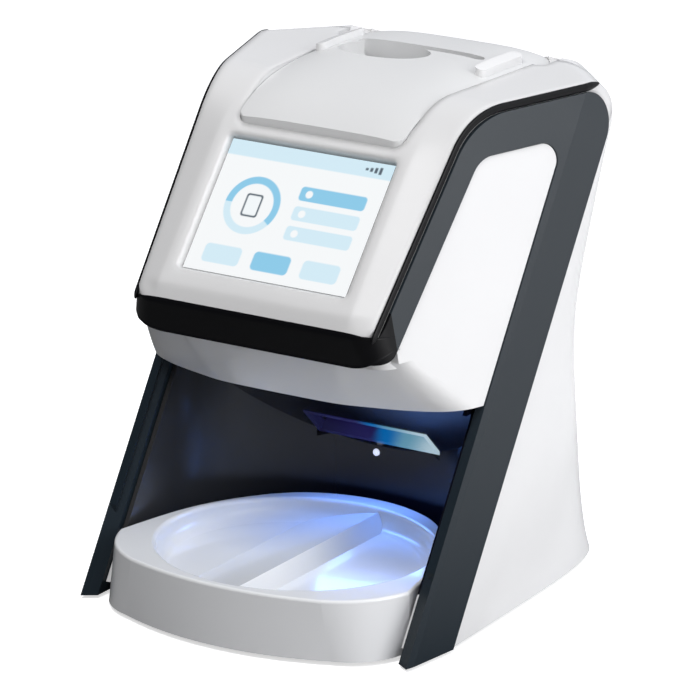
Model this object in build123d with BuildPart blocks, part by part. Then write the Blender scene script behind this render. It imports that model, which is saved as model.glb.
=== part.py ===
# Chairside scanner for phosphor imaging plates, built as it comes apart on a bench.
# Millimetres, +Z up, front towards -Y, origin on the table under the middle of the body.
import os
from math import cos, hypot, pi, radians, sin, tan

from build123d import *

os.makedirs("parts", exist_ok=True)

# Legs and flanks
leg_half = 82.2  # half-width over the legs at their front edge
leg_front = -76.0  # front edge of the legs at the table
leg_lean = 32.6  # degrees the legs lean back from upright
leg_width = 25.5  # front to back
leg_flare = 3.2  # how much wider the body is at the back edge of a leg
leg_thickness = 7.3
leg_inner = leg_half - leg_thickness  # half-width of the bay between the legs
leg_facet = 4.0  # how far the outer front edge of a leg leads its inner edge
flank_slope = 0.30  # half-width lost per millimetre ahead of the legs
foot_height = 1.5
wall = 3.0
band_skin = 4.0  # thickness of the dark band over the flanks
band_lip = 1.2  # the white rim lies this much inside the flanks
rim_width = 3.6  # white rim between the top of the band and the top of the head
panel_drop = 0.6  # the white panel lies this much below the dark band
seam = 0.3

# Head
face_tilt = 40.0  # degrees the screen face leans back from upright
head_top = 215.4
rear_end = 99.0
top_radius = 38.0
crown_radius = 60.0
ridge_half = 47.0  # flat of the raised bezel
slope_half = leg_half - 23.2  # where the slope of the bezel ends
ridge_height = 2.5  # bezel ridge over the glass
rim_drop = 0.8  # rim of the band under the glass
front_arm = 13.5
top_arm = 19.6
chin_top = 134.0
chin_low = 123.0
chin_tuck = 3.0
chin_corner = 13.0
chin_seam_y = -57.0
visor_low = 97.0

# Screen
screen_width = 80.0
screen_height = 60.0
screen_y = -40.0
screen_z = 170.5
glass_thickness = 2.0
glass_margin = 3.0

# Lid
lid_front_y = -17.6
lid_front_half = 40.0
lid_rear_half = 47.5
lid_rear_y = 95.0
lid_wall = 3.4
lid_gap = 0.35
slot_length = 62.0
slot_width = 5.4
slot_y = 62.0
grip_length = 33.0
grip_width = 5.0
grip_height = 3.2
grip_y = 60.0
lift_length = 19.0  # hollows in the shoulders for lifting the lid
lift_width = 8.0
lift_depth = 2.4
lift_y = 85.0

# Bay
bay_back = 32.0
bay_slope_y = -15.0
liner_wall = 2.0
exit_width = 62.0
exit_run = 18.0
exit_y = 22.7

# Tray
tray_half = leg_inner - 2.9
tray_mid_y = -40.0
tray_front = -97.0
tray_rim = 28.0
tray_wall = 2.6
bowl_floor = 19.0
bowl_half_x = tray_half - 12.0
bowl_half_y = 55.0
bowl_y = -37.5
bowl_round = 6.0  # between the floor of the bowl and its wall
bowl_lip = 1.6

bezel_rise = 8.0  # the raised face starts this far up from the chin
band_corner = 14.0
corner_start = 100.0  # rounding of the rear corners of the head, measured diagonally from the middle
corner_round = 14.5
corner_fill = 17.0
lid_corner = 9.0
lid_rest = 0.1
lid_ledge = 3.5
crown_half = 43.0
lid_arches = [
    (-24.0, 197.5, 199.2),
    (-17.6, 201.8, 203.4),
    (-3.0, 209.2, 211.0),
    (13.5, 213.1, 215.6),
    (37.0, 215.1, 218.8),
    (61.0, 215.4, 219.5),
    (86.0, 214.2, 217.6),
    (100.0, 211.6, 213.9),
]

visor_rings = [
    (visor_low, -48.5, (40.0, -45.3), (leg_half - 16.2, -36.5), -7.0),
    (110.0, -57.2, (41.0, -54.6), (leg_half - 19.7, -48.0), -30.0),
    (122.7, -64.4, (42.0, -62.3), (leg_half - 23.2, -57.6), -52.0),
]
collar_depth = 3.0
shell_inner = 6.8  # inside of the head shell below the flank surface
waist_rings = [
    (1.5, 99.0, 7.0, 0.08),
    (45.0, 91.5, 5.0, 0.06),
    (90.0, 88.5, 3.6, 0.04),
    (140.0, 94.0, 2.6, 0.02),
    (170.0, 98.0, 2.35, 0.0),
    (192.0, 99.0, 2.2, 0.0),
    (head_top, 99.0, 2.1, 0.0),
]
cover_round = 10.0
bay_flat = -20.0  # the side walls of the bay are straight up to here
liner_front = 3.0
base_thickness = 4.5
cheek_top = 25.5  # white cheeks of the base stand between the legs and the tray
cheek_back = -52.0
tray_clearance = 0.3
wedge_left = -25.0
wedge_top = 26.0
wedge_ridge = 6.5
wedge_right = 11.0
rail_x = 50.0
rail_width = 3.0
rail_height = 2.0

rim_round = 1.2
rail_front = 84.0  # front end of the tray rails
status_x = -3.8
status_y = 32.0
status_z = 47.0
status_radius = 1.5
light_fit = 0.1
scoop_x = -11.5
scoop_y = 51.0
scoop_z = 217.5
scoop_half_x = 22.0
scoop_half_y = 11.5
scoop_depth = 8.5
scoop_round = 5.0
throat_top = 204.3  # the walls round the entry slot end here
grip_x = 39.5

# Inner pieces
fit = 0.3
sheet = 1.5
board = 1.6
module_thickness = 5.0
bracket_width = 94.0
bracket_height = 70.0
board_width = 80.0
board_height = 60.0
board_standoff = 2.0
screw_spots = [(46, 46), (46, 68), (-46, 46), (-46, 68)]
screw_radius = 1.5
screw_head = 2.8
screw_head_height = 1.6
foot_spots = [(leg_inner - 17.9, -54), (17.9 - leg_inner, -54), (leg_inner - 12.9, 70), (12.9 - leg_inner, 70)]
foot_radius = 6.0
chassis_x = 40.0
chassis_outline = [(40, 6), (74, 6), (74, 110), (84, 125), (84, 200), (20, 200), (20, 112), (40, 100)]
flange_low = 42.0
flange_high = 72.0
flange_width = 12.0
tie_spots = [(46, 16), (70, 30), (68, 80), (28, 190), (78, 190), (26, 118)]
tie_radius = 3.0
throat_low = 190.0
throat_depth = 18.0
bore_fit = 0.05
guide_gap = 3.3  # plate guides stand this far from the middle of the slot
guide_sheet = 1.2
front_guide_end = (20.2, 70.4)
rear_guide_end = (32.6, 57.6)
scan_z = 152.0
lamp_z = 139.0
roller_spots = [(53.4, 180), (53.4, 125)]
roller_radius = 8.0
roller_half = 30.0
shaft_radius = 2.5
pinch_spots = [(67.6, 180), (67.6, 125)]
pinch_radius = 5.0
pinch_shaft = 1.5
pulley_gap = 4.0
pulley_width = 6.0
pulley_radius = 8.0
motor_spot = (40, 150)
motor_side = 28.0
motor_length = 24.0
motor_shaft = 2.5
motor_pulley_radius = 6.0
belt_thickness = 1.4
optics_y = 80.0
panel_half = 40.0
panel_low = 13.0
panel_high = 39.0
panel_face = 91.0
vent_z = 120.0
vent_count = 9
vent_pitch = 8.0
vent_length = 34.0
vent_width = 3.0
jack_z = 26.0
power_x = -28.0
switch_x = 28.0

lean = tan(radians(leg_lean))
tilt = radians(face_tilt)
full = 400.0
body_low = foot_height


def flank_half(back, inset=0.0):
    """Half-width of the body at a distance behind the front edge line of the legs."""
    if back < 0:
        return leg_half + flank_slope * back - inset
    return leg_half + leg_flare * back / leg_width - inset


def leg_line(height):
    """Y of the front edge line of the legs at a height."""
    return leg_front + lean * height


def face_point(up, out):
    """Y and Z of a point on the screen face, from distances up the face and out of it."""
    return (
        screen_y + up * sin(tilt) - out * cos(tilt),
        screen_z + up * cos(tilt) + out * sin(tilt),
    )


def face_y(height, out):
    """Y of the plane that lies a distance out of the screen face, at a height."""
    y, z = face_point(0, out)
    return y + (height - z) * tan(tilt)


face_plane = Plane(origin=(0, screen_y, screen_z), x_dir=(1, 0, 0), z_dir=(0, -cos(tilt), sin(tilt)))
up_lean = (0, lean, 1)


def sheared(points, low=0.0, high=260.0):
    """A plan outline carried up along the lean of the legs."""
    with BuildPart() as body:
        with BuildSketch(Plane.XY.offset(low)):
            with BuildLine():
                Polyline([(x, y + lean * low) for x, y in points], close=True)
            make_face()
        extrude(amount=(high - low) / cos(radians(leg_lean)), dir=up_lean)
    return body.part


def body_prism(inset, start, end, low=0.0, high=260.0):
    """The body between its flanks, from start to end behind the leg line."""
    right = [(flank_half(start, inset), leg_front + start)]
    if start < 0 < end:
        right.append((leg_half - inset, leg_front))
    right.append((flank_half(end, inset), leg_front + end))
    left = [(-x, y) for x, y in reversed(right)]
    return sheared(right + left, low, high)


def profile(points, half, radii=()):
    """A side profile in Y and Z, with some corners rounded, carried across the body."""
    with BuildPart() as body:
        with BuildSketch(Plane.YZ) as outline:
            with BuildLine():
                Polyline(points, close=True)
            make_face()
            for index, radius in radii:
                corner = outline.vertices().sort_by_distance(Vector(*points[index]))[0]
                fillet(corner, radius)
        extrude(amount=half, both=True)
    return body.part


def chin_wall_y(height, inset=0.0):
    """Y of the chin wall, which tucks back under the face."""
    slope = chin_tuck / (chin_top - chin_low)
    return face_y(chin_top, -rim_drop) + inset + (chin_top - height) * slope


def chin_edge(face_out, inset):
    """Y and Z where the chin wall meets a plane parallel to the screen face."""
    slope = chin_tuck / (chin_top - chin_low)
    ahead = chin_wall_y(chin_top, inset) - face_y(chin_top, face_out)
    height = chin_top + ahead / (tan(tilt) + slope)
    return chin_wall_y(height, inset), height


def head_body(side_inset, face_out, top_inset, chin_inset, end, low=chin_low):
    """The solid head between the flanks, with rounded chin corners."""
    top = head_top - top_inset
    outline = [
        (chin_wall_y(low, chin_inset), low),
        chin_edge(face_out, chin_inset),
        (face_y(top, face_out), top),
        (rear_end + 20, top),
        (rear_end + 20, low),
    ]
    with BuildPart() as body:
        add(profile(outline, full / 2, [(2, max(top_radius - top_inset, 1.0))]))
        add(body_prism(side_inset, -110.0, end), mode=Mode.INTERSECT)
        walls = body.edges().filter_by_position(Axis.Y, -110, chin_wall_y(low, chin_inset) + 0.5)
        corners = [e for e in walls if abs(e.center().X) > 30 and abs(e.tangent_at(0).Z) > 0.5]
        corners = [e for e in corners if e.center().Z < chin_edge(face_out, chin_inset)[1]]
        fillet(corners, max(chin_corner - chin_inset, 3.0))
    return body.part


def window_shape(grow, half=full / 2):
    """The opening of the side band, open below the front arm."""
    top = head_top - top_arm + grow
    inner = -front_arm - rim_drop + grow
    low = chin_low + grow
    rear = -leg_facet + grow
    points = [
        (-250, low),
        (face_y(low, inner), low),
        (face_y(top, inner), top),
        (leg_line(top) + rear, top),
        (leg_line(0) + rear, 0),
        (-250, 0),
    ]
    return profile(points, half, [(1, 10.0 + grow), (2, 14.0 + grow), (3, 7.0 + grow)])


def behind_face(out, drop, radius=top_radius):
    """Everything behind a plane parallel to the screen face and under the top, rounded where they meet."""
    top = head_top - drop
    outline = [(face_y(0, out), 0), (face_y(top, out), top), (rear_end + 40, top), (rear_end + 40, 0)]
    return profile(outline, full / 2, [(1, radius - drop)])


def raised_outline(out, radius, x, drop=0.0):
    """Side section of the bezel with its face a distance out of the glass plane."""
    start_y, start_z = chin_edge(-rim_drop, 0.0)
    up = (start_z - screen_z + rim_drop * sin(tilt)) / cos(tilt) + bezel_rise
    top = head_top - drop
    points = [
        (chin_wall_y(chin_low), chin_low),
        (start_y, start_z),
        face_point(up, out),
        (face_y(top, out), top),
        (rear_end + 20, top),
        (rear_end + 20, chin_low),
    ]
    with BuildSketch(Plane.YZ.offset(x)) as section:
        with BuildLine():
            Polyline(points, close=True)
        make_face()
        corner = section.vertices().sort_by_distance(Vector(*points[3]))[0]
        fillet(corner, radius)
    return section.sketch


def under_ridge(drop):
    """Everything a distance under the raised bezel, carried across the body."""
    with BuildPart() as body:
        extrude(raised_outline(ridge_height - drop, crown_radius - drop, -full / 2, drop), amount=full)
    return body.part


def lid_plan(grow, low=150.0, high=240.0):
    """The outline of the lid seen from above, carried up."""
    rear = lid_rear_y + grow
    with BuildPart() as body:
        with BuildSketch(Plane.XY.offset(low)) as outline:
            with BuildLine():
                Polyline(
                    (lid_front_half + grow, lid_front_y - grow),
                    (lid_rear_half + grow, rear),
                    (-lid_rear_half - grow, rear),
                    (-lid_front_half - grow, lid_front_y - grow),
                    close=True,
                )
            make_face()
            fillet(outline.vertices().group_by(Axis.Y)[-1], lid_corner + grow)
            fillet(outline.vertices().group_by(Axis.Y)[0], lid_corner / 2 + grow)
        extrude(amount=high - low)
    return body.part


def crown(raise_by=0.0):
    """The domed top of the lid, as a solid that reaches well down."""
    with BuildPart() as body:
        for y, edge, middle in lid_arches:
            with BuildSketch(Plane.XZ.offset(-y)):
                with BuildLine():
                    spans = [-1.2, -1.0, -0.75, -0.4, 0.0, 0.4, 0.75, 1.0, 1.2]
                    arch = [
                        (crown_half * t, middle - (middle - edge) * t**4 + raise_by) for t in spans
                    ]
                    Spline(*arch)
                    Polyline(arch[-1], (arch[-1][0], 150), (arch[0][0], 150), arch[0])
                make_face()
        loft()
    return body.part


def box(low, high):
    """A block between two corners."""
    with BuildPart() as body:
        with BuildSketch(Plane.XY.offset(low[2])):
            with Locations(((low[0] + high[0]) / 2, (low[1] + high[1]) / 2)):
                Rectangle(high[0] - low[0], high[1] - low[1])
        extrude(amount=high[2] - low[2])
    return body.part


def rod(y, z, radius, x_low, x_high):
    """A round bar along X."""
    with BuildPart() as body:
        with BuildSketch(Plane.YZ.offset(x_low)):
            with Locations((y, z)):
                Circle(radius)
        extrude(amount=x_high - x_low)
    return body.part


def stadium(x, y, length, width, low, high):
    """An upright block with round ends, its length along X or Y by sign of length."""
    with BuildPart() as body:
        with BuildSketch(Plane.XY.offset(low)):
            with Locations((x, y)):
                SlotOverall(abs(length), width, rotation=0 if length > 0 else 90)
        extrude(amount=high - low)
    return body.part


def beyond_corner(side, inset=0.0):
    """Everything outside the rounded rear corner of the head, seen along the diagonal."""
    far = corner_start + 3 * corner_round
    low = head_top - corner_round
    reach = corner_round - inset
    half_way = sin(radians(45)) * reach
    with BuildPart() as body:
        with BuildSketch(Plane(origin=(0, 0, 0), x_dir=(side, 1, 0), z_dir=(1, -side, 0))) as section:
            with BuildLine():
                ThreePointArc(
                    (corner_start, low + reach),
                    (corner_start + half_way, low + half_way),
                    (corner_start + reach, low),
                )
                Polyline(
                    (corner_start + reach, low),
                    (corner_start + reach, low - corner_round),
                    (far, low - corner_round),
                    (far, 240),
                    (corner_start, 240),
                    (corner_start, low + reach),
                )
            make_face()
        extrude(amount=full / 2, both=True)
    return body.part


# Side bands: dark satin mouldings, each one leg, top arm and front arm in one piece
leg_plan = [
    (leg_inner, leg_front),
    (flank_half(-leg_facet), leg_front - leg_facet),
    (leg_half, leg_front),
    (flank_half(leg_width), leg_front + leg_width),
    (leg_inner, leg_front + leg_width),
]
arm_plan = [
    (flank_half(-100.0, band_skin), leg_front - 100.0),
    (flank_half(-100.0), leg_front - 100.0),
    (flank_half(-leg_facet / 2), leg_front - leg_facet / 2),
    (flank_half(-leg_facet / 2, band_skin), leg_front - leg_facet / 2),
]
band_face = -rim_drop - rim_width
band_top = head_top - rim_width
band_outline = [
    (-250, body_low),
    (-250, chin_low),
    (face_y(chin_low, band_face), chin_low),
    (face_y(band_top, band_face), band_top),
    (leg_line(band_top) + leg_width, band_top),
    (leg_line(body_low) + leg_width, body_low),
]
chin_seam = Plane(origin=(0, chin_seam_y, 0), z_dir=(0, 1, 0))

with BuildPart() as arm:
    add(sheared(arm_plan))
    add(window_shape(0.0), mode=Mode.SUBTRACT)
    split(bisect_by=chin_seam)

with BuildPart() as right_side_band:
    add(sheared(leg_plan))
    add(arm.part)
    add(profile(band_outline, full / 2, [(3, top_radius), (4, band_corner)]), mode=Mode.INTERSECT)
right_side_band.part.label = "right_side_band"

with BuildPart() as left_side_band:
    mirror(right_side_band.part, about=Plane.YZ)
left_side_band.part.label = "left_side_band"

# Chin band: near-black strip that joins the side bands under the screen
with BuildPart() as chin_band:
    add(head_body(0.0, band_face, rim_width, 0.0, leg_width))
    add(head_body(band_skin, 20.0, -20.0, band_skin, leg_width + 5, chin_low - 5), mode=Mode.SUBTRACT)
    add(window_shape(0.0), mode=Mode.SUBTRACT)
    split(bisect_by=chin_seam, keep=Keep.BOTTOM)
chin_band.part.label = "chin_band"

# Screen bezel: glossy white, a raised ridge round the glass that runs on over the top as shoulders
with BuildPart() as bezel_pad:
    extrude(raised_outline(ridge_height, crown_radius, -ridge_half), amount=2 * ridge_half)
    for side in (1, -1):
        low_section = raised_outline(-rim_drop, top_radius, side * slope_half)
        high_section = raised_outline(ridge_height, crown_radius, side * ridge_half)
        loft([high_section, low_section], ruled=True)
    add(head_body(0.0, 20.0, -20.0, 0.0, leg_width), mode=Mode.INTERSECT)
    add(head_body(0.0, -rim_drop, 0.0, 0.0, leg_width))
    add(body_prism(band_lip, -110.0, leg_width), mode=Mode.INTERSECT)
    add(behind_face(band_face, rim_width), mode=Mode.SUBTRACT)

with BuildPart() as bezel_corners:
    corner_low = band_top - 2 * band_corner
    add(body_prism(band_lip, leg_width - 2 * band_corner, leg_width, corner_low, band_top))
    add(body_prism(band_lip + corner_fill, -10, leg_width + 10, corner_low - 1, 250), mode=Mode.SUBTRACT)
    add(profile(band_outline, full / 2, [(3, top_radius), (4, band_corner)]), mode=Mode.SUBTRACT)

with BuildPart() as seat_collar:
    add(under_ridge(1.0))
    add(under_ridge(lid_wall + lid_wall), mode=Mode.SUBTRACT)
    add(lid_plan(lid_wall), mode=Mode.INTERSECT)

with BuildPart() as seat_space:
    add(lid_plan(lid_gap))
    add(under_ridge(lid_wall + lid_rest), mode=Mode.SUBTRACT)

with BuildPart() as lift_space:
    for side in (1, -1):
        lift_x = side * (lid_rear_half + lid_gap)
        add(stadium(lift_x, lift_y, -lift_length, lift_width, head_top - lift_depth, 240))

with BuildPart() as screen_bezel:
    add(bezel_pad.part)
    add(bezel_corners.part)
    add(beyond_corner(1), mode=Mode.SUBTRACT)
    add(beyond_corner(-1), mode=Mode.SUBTRACT)
    add(right_side_band.part, mode=Mode.SUBTRACT)
    add(left_side_band.part, mode=Mode.SUBTRACT)
    add(chin_band.part, mode=Mode.SUBTRACT)
    add(seat_collar.part)
    add(body_prism(band_lip, -110.0, leg_width), mode=Mode.INTERSECT)
    add(seat_space.part, mode=Mode.SUBTRACT)
    add(lid_plan(-lid_ledge), mode=Mode.SUBTRACT)
    add(lift_space.part, mode=Mode.SUBTRACT)
    with BuildSketch(face_plane.offset(-20)):
        Rectangle(screen_width + 2 * glass_margin, screen_height + 2 * glass_margin)
    extrude(amount=20, mode=Mode.SUBTRACT)
    with BuildSketch(face_plane):
        RectangleRounded(screen_width, screen_height, 1.0)
    extrude(amount=10, taper=-35, mode=Mode.SUBTRACT)
screen_bezel.part.label = "screen_bezel"


# Head shell: white moulding inside the band, the panels at the sides and the lofted visor below
shell_end = -leg_facet - seam


def visor_section(height, middle_y, near, far, back, inset):
    """One level section of the visor, closed along the flanks and across at the leg line."""
    side = (flank_half(back, panel_drop + inset), leg_line(height) + back)
    end = (flank_half(shell_end, panel_drop + inset), leg_line(height) + shell_end)
    half = [side, (far[0] - inset * 0.6, far[1] + inset), (near[0], near[1] + inset), (0, middle_y + inset)]
    with BuildSketch(Plane.XY.offset(height)) as section:
        with BuildLine():
            Spline(*half, tangents=[(-flank_slope, -1), (-1, 0)])
            Spline(*[(-x, y) for x, y in half], tangents=[(flank_slope, -1), (1, 0)])
            Polyline((-side[0], side[1]), (-end[0], end[1]), end, side)
        make_face()
    return section.sketch


def visor(inset):
    """The visor as a solid, all its surfaces moved in."""
    with BuildPart() as body:
        loft([visor_section(*ring, inset) for ring in visor_rings])
    return body.part


shell_top = visor_rings[-1][0]
with BuildPart() as shell_walls:
    add(head_body(band_skin + seam, band_face - seam, rim_width + seam, band_skin + seam, shell_end,
                  shell_top - collar_depth))
    add(head_body(shell_inner, 20.0, -20.0, shell_inner, 20.0, 100.0), mode=Mode.SUBTRACT)

with BuildPart() as shell_panels:
    add(body_prism(panel_drop, -100.0, shell_end, shell_top))
    add(body_prism(shell_inner, -120.0, 20.0), mode=Mode.SUBTRACT)
    add(window_shape(-seam), mode=Mode.INTERSECT)
    split(bisect_by=Plane(origin=(0, chin_seam_y + seam, 0), z_dir=(0, 1, 0)))

with BuildPart() as shell_collar:
    add(visor(0.0))
    split(bisect_by=Plane.XY.offset(shell_top - collar_depth))
    add(head_body(shell_inner, 20.0, -20.0, shell_inner, 20.0, 100.0), mode=Mode.SUBTRACT)

with BuildPart() as head_shell:
    add(visor(0.0))
    add(visor(wall), mode=Mode.SUBTRACT)
    add(shell_collar.part)
    add(shell_walls.part)
    add(shell_panels.part)
head_shell.part.label = "head_shell"

# Rear cover: white shell with a waist, lofted from level sections
cover_seam = leg_width + seam


def waist_section(height, rear, power, narrowing, inset):
    """One level section of the rear cover, a superellipse behind the back edge of the legs."""
    start = leg_line(height) + cover_seam
    half = flank_half(leg_width, band_lip + inset)
    depth = rear - inset - start
    curve = []
    for along in (0.0, 0.25, 0.5, 0.7, 0.84, 0.94):
        curve.append(((1 - along**power) ** (1 / power), along))
    for share in (0.66, 0.33):
        across = curve[5][0] * share
        curve.append((across, (1 - across**power) ** (1 / power)))
    curve = [(half * x * (1 - narrowing * y), start + depth * y) for x, y in curve]
    curve = curve + [(0, start + depth)] + [(-x, y) for x, y in reversed(curve)]
    with BuildSketch(Plane.XY.offset(height)) as section:
        with BuildLine():
            Spline(*curve)
            Line(curve[-1], curve[0])
        make_face()
    return section.sketch


def waist_body(inset):
    """The rear cover as a solid, its surface moved in."""
    with BuildPart() as body:
        loft([waist_section(*ring, inset) for ring in waist_rings])
    return body.part


with BuildPart() as cover_space:
    add(waist_body(wall))
    split(bisect_by=Plane.XY.offset(head_top - wall), keep=Keep.BOTTOM)
    add(beyond_corner(1, wall), mode=Mode.SUBTRACT)
    add(beyond_corner(-1, wall), mode=Mode.SUBTRACT)

with BuildPart() as cover_rounding:
    side_view = [(-50, 0), (-50, head_top), (rear_end, head_top), (rear_end, 0)]
    add(profile(side_view, full / 2, [(2, cover_round)]))
    with BuildSketch(Plane.XZ.offset(-rear_end - 10)) as across:
        Rectangle(2 * flank_half(leg_width, band_lip), 2 * head_top)
        fillet(across.vertices(), band_lip * 2)
    extrude(amount=rear_end + 100, mode=Mode.INTERSECT)

with BuildPart() as cover_outer:
    add(waist_body(0.0))
    add(cover_rounding.part, mode=Mode.INTERSECT)
    add(beyond_corner(1), mode=Mode.SUBTRACT)
    add(beyond_corner(-1), mode=Mode.SUBTRACT)

with BuildPart() as cover_collar:
    add(seat_collar.part)
    add(cover_outer.part, mode=Mode.INTERSECT)

with BuildPart() as rear_cover:
    add(cover_outer.part)
    add(cover_space.part, mode=Mode.SUBTRACT)
    add(cover_collar.part)
    add(seat_space.part, mode=Mode.SUBTRACT)
    add(lid_plan(-lid_ledge, 200.0), mode=Mode.SUBTRACT)
    add(lift_space.part, mode=Mode.SUBTRACT)
    add(box((-panel_half, 80, panel_low), (panel_half, 120, panel_high)), mode=Mode.SUBTRACT)
    with BuildSketch(Plane.XZ.offset(-80)):
        with Locations((0, vent_z)):
            with GridLocations(vent_pitch, 0, vent_count, 1):
                SlotOverall(vent_length, vent_width, rotation=90)
    extrude(amount=-60, mode=Mode.SUBTRACT)
rear_cover.part.label = "rear_cover"


# Bay liner: glossy black wall of the bay, curved at the back under a sloping ceiling
def bay_plan(grow, low, high):
    """The plan of the bay, straight at the sides and half an ellipse at the back."""
    half = leg_inner - seam - liner_wall + grow
    with BuildPart() as body:
        with BuildSketch(Plane.XY.offset(low)):
            with BuildLine():
                Polyline((-half, bay_flat), (-half, -90), (half, -90), (half, bay_flat))
                EllipticalCenterArc(
                    (0, bay_flat), half, bay_back - bay_flat + grow, start_angle=0, arc_size=180
                )
            make_face()
        extrude(amount=high - low)
    return body.part


def bay_ceiling(grow):
    """Everything under the ceiling of the bay, moved out."""
    top = visor_low + grow
    bend = bay_slope_y + grow * tan(radians(22.5))
    back = bay_back + 20
    low = top - (back - bend)
    with BuildPart() as body:
        add(profile([(-120, 0), (-120, top), (bend, top), (back, low), (back, 0)], full / 2))
    return body.part


liner_low = body_low + base_thickness
exit_plane = Plane(
    origin=(0, exit_y, visor_low - (exit_y - bay_slope_y)), x_dir=(1, 0, 0), z_dir=(0, -1, -1)
)
with BuildPart() as ceiling_front:
    add(visor(wall + seam))
    add(bay_ceiling(liner_wall), mode=Mode.INTERSECT)
    add(box((-leg_inner + seam, -110, visor_low), (leg_inner - seam, 60, 130)), mode=Mode.INTERSECT)

with BuildPart() as ceiling_bridge:
    add(body_prism(0.0, shell_end - 1, liner_front + 1, visor_low - liner_front - 1.5))
    add(bay_plan(liner_wall, 0, 110), mode=Mode.INTERSECT)
    add(bay_ceiling(liner_wall), mode=Mode.INTERSECT)

with BuildPart() as bay_space:
    add(bay_plan(0.0, 0, 110))
    add(bay_ceiling(0.0), mode=Mode.INTERSECT)

with BuildPart() as bay_liner:
    add(bay_plan(liner_wall, liner_low, 110))
    add(bay_ceiling(liner_wall), mode=Mode.INTERSECT)
    add(body_prism(0.0, liner_front, 200.0), mode=Mode.INTERSECT)
    add(ceiling_front.part)
    add(ceiling_bridge.part)
    add(bay_space.part, mode=Mode.SUBTRACT)
    add(box((-100, -100, 0), (100, cheek_back, cheek_top)), mode=Mode.SUBTRACT)
    with BuildSketch(exit_plane):
        Rectangle(exit_width, exit_run)
    extrude(amount=10, both=True, mode=Mode.SUBTRACT)
    with BuildSketch(Plane.XZ.offset(-status_y)):
        with Locations((status_x, status_z)):
            Circle(status_radius + light_fit)
    extrude(amount=20, both=True, mode=Mode.SUBTRACT)
bay_liner.part.label = "bay_liner"

# Tray: white tray with a skirt in front and a bowl, its floor a low ridge that runs front to back
rim_front = [(25 - tray_half, -90), (0, -97.5), (tray_half - 25, -90)]
rim_side = [(tray_half - 25, -90), (tray_half - 10, -79.5), (tray_half, -62)]
skirt_front = [(21.5 - tray_half, -89), (0, -99), (tray_half - 21.5, -89)]
skirt_side = [(tray_half - 21.5, -89), (tray_half - 7, -80.5), (tray_half, -62)]
rim_back = [(tray_half - x, y) for x, y in ((0, -62), (4, -42), (11, -19), (21, -1), (36, 15.5))]
rim_back = rim_back + [(19, 24), (0, 27)]


def drawn_in(points, inset):
    """Points of the tray's outline moved towards its middle."""
    moved = []
    for x, y in points:
        reach = hypot(x, y - tray_mid_y)
        moved.append((x * (1 - inset / reach), tray_mid_y + (y - tray_mid_y) * (1 - inset / reach)))
    return moved


def tray_plan(front, side, back, height, inset=0.0):
    """Closed outline of the tray from its right half."""
    side = drawn_in(side, inset)
    back = drawn_in(back, inset)
    with BuildSketch(Plane.XY.offset(height)) as section:
        with BuildLine():
            ThreePointArc(*drawn_in(front, inset))
            Spline(*side)
            Spline(*(back + [(-x, y) for x, y in reversed(back[:-1])]))
            Spline(*[(-x, y) for x, y in side])
        make_face()
    return section.sketch


tray_low = body_low + base_thickness + tray_clearance
with BuildPart() as tray_bowl:
    with BuildSketch(Plane.XY.offset(bowl_floor)):
        with Locations((0, bowl_y)):
            Ellipse(bowl_half_x, bowl_half_y)
    extrude(amount=tray_rim - bowl_floor)
    fillet(tray_bowl.edges().group_by(Axis.Z)[0], bowl_round)

with BuildPart() as bowl_wedge:
    with BuildSketch(Plane.XZ.offset(-bay_back)) as ridge:
        with BuildLine():
            Polyline(
                (wedge_left, bowl_floor - 2),
                (wedge_left, bowl_floor),
                (wedge_ridge, wedge_top),
                (wedge_right, bowl_floor),
                (wedge_right, bowl_floor - 2),
                close=True,
            )
        make_face()
    extrude(amount=bay_back - tray_front)
    add(tray_bowl.part, mode=Mode.INTERSECT)

with BuildPart() as tray:
    low_plan = tray_plan(skirt_front, skirt_side, rim_back, body_low + 0.5)
    high_plan = tray_plan(rim_front, rim_side, rim_back, tray_rim)
    loft([low_plan, high_plan], ruled=True)
    fillet(tray.edges().group_by(Axis.Z)[-1], rim_round)
    extrude(tray_plan(skirt_front, skirt_side, rim_back, 0, tray_wall), amount=tray_low, mode=Mode.SUBTRACT)
    add(box((-100, leg_front + 12, 0), (100, 60, tray_low)), mode=Mode.SUBTRACT)
    add(tray_bowl.part, mode=Mode.SUBTRACT)
    bowl_edge = tray.edges().filter_by(GeomType.ELLIPSE).sort_by(Axis.Z)[-1]
    fillet(bowl_edge, bowl_lip)
    add(bowl_wedge.part)
    with BuildSketch(Plane.XY.offset(tray_low)):
        with Locations((rail_x, 0), (-rail_x, 0)):
            Rectangle(rail_width + 2 * tray_clearance, 2 * rail_front)
    extrude(amount=rail_height, mode=Mode.SUBTRACT)
tray.part.label = "tray"

# Lid: light grey insert with a domed top, an entry slot and a finger scoop
def scoop(grow):
    """A bowl for a fingertip, an ellipse sunk from above with its floor rounded into its wall."""
    with BuildPart() as body:
        with BuildSketch(Plane.XY.offset(scoop_z - scoop_depth - grow)):
            with Locations((scoop_x, scoop_y)):
                Ellipse(scoop_half_x + grow, scoop_half_y + grow)
        extrude(amount=full / 10)
        fillet(body.edges().group_by(Axis.Z)[0], scoop_round + grow)
    return body.part


with BuildPart() as throat_wall:
    add(stadium(0, slot_y, slot_length + 2 * lid_wall, slot_width + 2 * liner_wall, throat_top, 240))
    add(scoop(liner_wall))
    add(crown(), mode=Mode.INTERSECT)

with BuildPart() as lid_edge:
    add(lid_plan(0.0))
    add(lid_plan(-lid_wall), mode=Mode.SUBTRACT)
    add(crown(), mode=Mode.INTERSECT)
    add(under_ridge(lid_wall), mode=Mode.SUBTRACT)

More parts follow.
